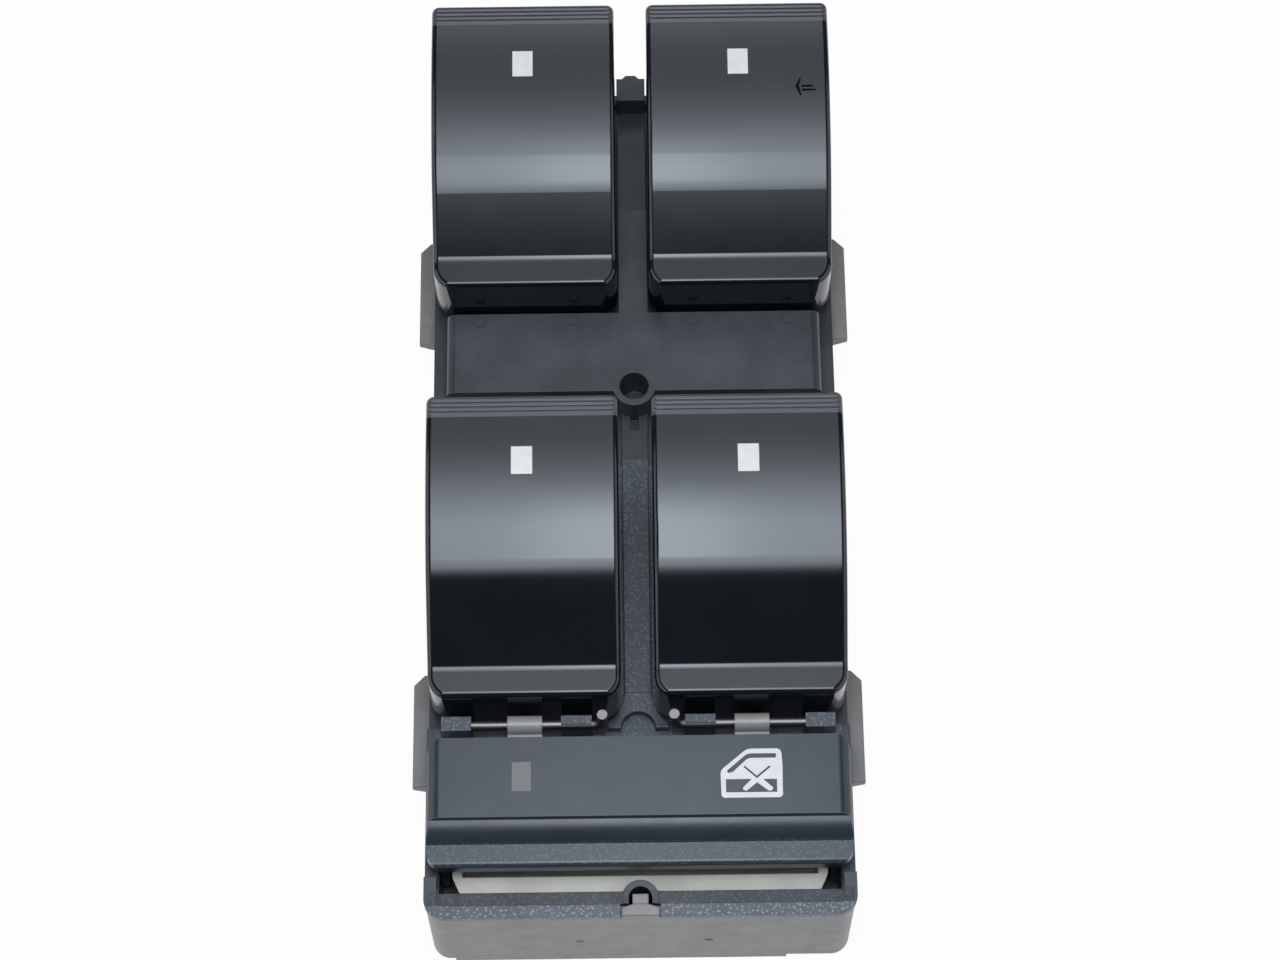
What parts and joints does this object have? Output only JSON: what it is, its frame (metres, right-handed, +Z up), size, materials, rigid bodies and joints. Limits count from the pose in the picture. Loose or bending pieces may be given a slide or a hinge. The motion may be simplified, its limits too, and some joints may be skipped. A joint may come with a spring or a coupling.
{
  "type": "power window switch",
  "caption": "Car door window switch block: paired rocking buttons with lifting lips and pale legends, a lock key across one end, in a dark housing on a grey clip-in case.",
  "frame": {"origin": "middle of the part's bounding box, on its lowest face, the pad under the case", "axes": "+X across the switch to the right button of each pair, +Y along it from the lock key to the front pair's lifting lips, +Z up out of the buttons"},
  "size_m": [0.0584, 0.1228, 0.0366],
  "materials": {
    "case_grey": "matt, fine grain",
    "housing_black": "matt, fine grain",
    "carrier_white": "matt",
    "board_green": "satin solder resist",
    "mat_silicone": "matt, translucent",
    "header_black": "matt",
    "pin_metal": "bright plated",
    "lamp_white": "gloss",
    "chip_black": "matt",
    "guide_clear": "clear, polished",
    "wire_steel": "drawn wire",
    "key_black": "satin, fine grain",
    "lens_smoked": "smooth, smoked",
    "pusher_white": "smooth",
    "button_black": "satin, fine grain",
    "legend_white": "smooth, translucent"
  },
  "bodies": {
    "switch_body": {"base_case": "case_grey", "top_housing": "housing_black", "guide_carrier": "carrier_white", "circuit_board": "board_green", "dome_mat": "mat_silicone", "plug_header": "header_black", "header_pins": "pin_metal", "board_leds": "lamp_white", "board_chips": "chip_black", "light_guides": "guide_clear", "hinge_wires": "wire_steel"},
    "front_left_rocker": {"front_left_button": "button_black", "front_left_legend": "legend_white"},
    "front_left_down_pusher_body": {"front_left_down_pusher": "pusher_white"},
    "front_left_up_pusher_body": {"front_left_up_pusher": "pusher_white"},
    "front_right_rocker": {"front_right_button": "button_black", "front_right_legend": "legend_white"},
    "front_right_down_pusher_body": {"front_right_down_pusher": "pusher_white"},
    "front_right_up_pusher_body": {"front_right_up_pusher": "pusher_white"},
    "rear_left_rocker": {"rear_left_button": "button_black", "rear_left_legend": "legend_white"},
    "rear_left_down_pusher_body": {"rear_left_down_pusher": "pusher_white"},
    "rear_left_up_pusher_body": {"rear_left_up_pusher": "pusher_white"},
    "rear_right_rocker": {"rear_right_button": "button_black", "rear_right_legend": "legend_white"},
    "rear_right_down_pusher_body": {"rear_right_down_pusher": "pusher_white"},
    "rear_right_up_pusher_body": {"rear_right_up_pusher": "pusher_white"},
    "lock_key_body": {"lock_key": "key_black", "lock_lamp_lens": "lens_smoked"},
    "lock_pusher_body": {"lock_pusher": "pusher_white"}
  },
  "joints": [
    {"name": "front_left_hinge", "type": "hinge", "parent": "switch_body", "child": "front_left_rocker", "pos_m": [-0.01438, 0.0419, 0.022], "axis": [1, 0, 0], "range_deg": [-7, 7], "stiffness_Nm_per_rad": 0.3, "deforming": ["dome_mat"]},
    {"name": "front_left_down_pusher_slide", "type": "slide", "parent": "switch_body", "child": "front_left_down_pusher_body", "axis": [0, 0, 1], "range_m": [-0.00075, 0.00075], "deforming": ["dome_mat"]},
    {"name": "front_left_up_pusher_slide", "type": "slide", "parent": "switch_body", "child": "front_left_up_pusher_body", "axis": [0, 0, 1], "range_m": [-0.00075, 0.00075], "deforming": ["dome_mat"]},
    {"name": "front_right_hinge", "type": "hinge", "parent": "switch_body", "child": "front_right_rocker", "pos_m": [0.01438, 0.0419, 0.022], "axis": [1, 0, 0], "range_deg": [-7, 7], "stiffness_Nm_per_rad": 0.3, "deforming": ["dome_mat"]},
    {"name": "front_right_down_pusher_slide", "type": "slide", "parent": "switch_body", "child": "front_right_down_pusher_body", "axis": [0, 0, 1], "range_m": [-0.00075, 0.00075], "deforming": ["dome_mat"]},
    {"name": "front_right_up_pusher_slide", "type": "slide", "parent": "switch_body", "child": "front_right_up_pusher_body", "axis": [0, 0, 1], "range_m": [-0.00075, 0.00075], "deforming": ["dome_mat"]},
    {"name": "rear_left_hinge", "type": "hinge", "parent": "switch_body", "child": "rear_left_rocker", "pos_m": [-0.01438, -0.016, 0.022], "axis": [1, 0, 0], "range_deg": [-7, 7], "stiffness_Nm_per_rad": 0.3, "deforming": ["dome_mat"]},
    {"name": "rear_left_down_pusher_slide", "type": "slide", "parent": "switch_body", "child": "rear_left_down_pusher_body", "axis": [0, 0, 1], "range_m": [-0.00075, 0.00075], "deforming": ["dome_mat"]},
    {"name": "rear_left_up_pusher_slide", "type": "slide", "parent": "switch_body", "child": "rear_left_up_pusher_body", "axis": [0, 0, 1], "range_m": [-0.00075, 0.00075], "deforming": ["dome_mat"]},
    {"name": "rear_right_hinge", "type": "hinge", "parent": "switch_body", "child": "rear_right_rocker", "pos_m": [0.01438, -0.016, 0.022], "axis": [1, 0, 0], "range_deg": [-7, 7], "stiffness_Nm_per_rad": 0.3, "deforming": ["dome_mat"]},
    {"name": "rear_right_down_pusher_slide", "type": "slide", "parent": "switch_body", "child": "rear_right_down_pusher_body", "axis": [0, 0, 1], "range_m": [-0.00075, 0.00075], "deforming": ["dome_mat"]},
    {"name": "rear_right_up_pusher_slide", "type": "slide", "parent": "switch_body", "child": "rear_right_up_pusher_body", "axis": [0, 0, 1], "range_m": [-0.00075, 0.00075], "deforming": ["dome_mat"]},
    {"name": "lock_key_hinge", "type": "hinge", "parent": "switch_body", "child": "lock_key_body", "pos_m": [0, -0.0363, 0.0222], "axis": [1, 0, 0], "range_deg": [0, 4.5], "stiffness_Nm_per_rad": 0.3, "deforming": ["dome_mat"]},
    {"name": "lock_pusher_slide", "type": "slide", "parent": "switch_body", "child": "lock_pusher_body", "axis": [0, 0, 1], "range_m": [-0.00095, 0], "deforming": ["dome_mat"]}
  ],
  "couplings": [
    {"joint": "front_left_down_pusher_slide", "follows": "front_left_hinge", "m_per_rad": 0.006},
    {"joint": "front_left_up_pusher_slide", "follows": "front_left_hinge", "m_per_rad": -0.006},
    {"joint": "front_right_down_pusher_slide", "follows": "front_right_hinge", "m_per_rad": 0.006},
    {"joint": "front_right_up_pusher_slide", "follows": "front_right_hinge", "m_per_rad": -0.006},
    {"joint": "rear_left_down_pusher_slide", "follows": "rear_left_hinge", "m_per_rad": 0.006},
    {"joint": "rear_left_up_pusher_slide", "follows": "rear_left_hinge", "m_per_rad": -0.006},
    {"joint": "rear_right_down_pusher_slide", "follows": "rear_right_hinge", "m_per_rad": 0.006},
    {"joint": "rear_right_up_pusher_slide", "follows": "rear_right_hinge", "m_per_rad": -0.006},
    {"joint": "lock_pusher_slide", "follows": "lock_key_hinge", "m_per_rad": -0.0118}
  ]
}
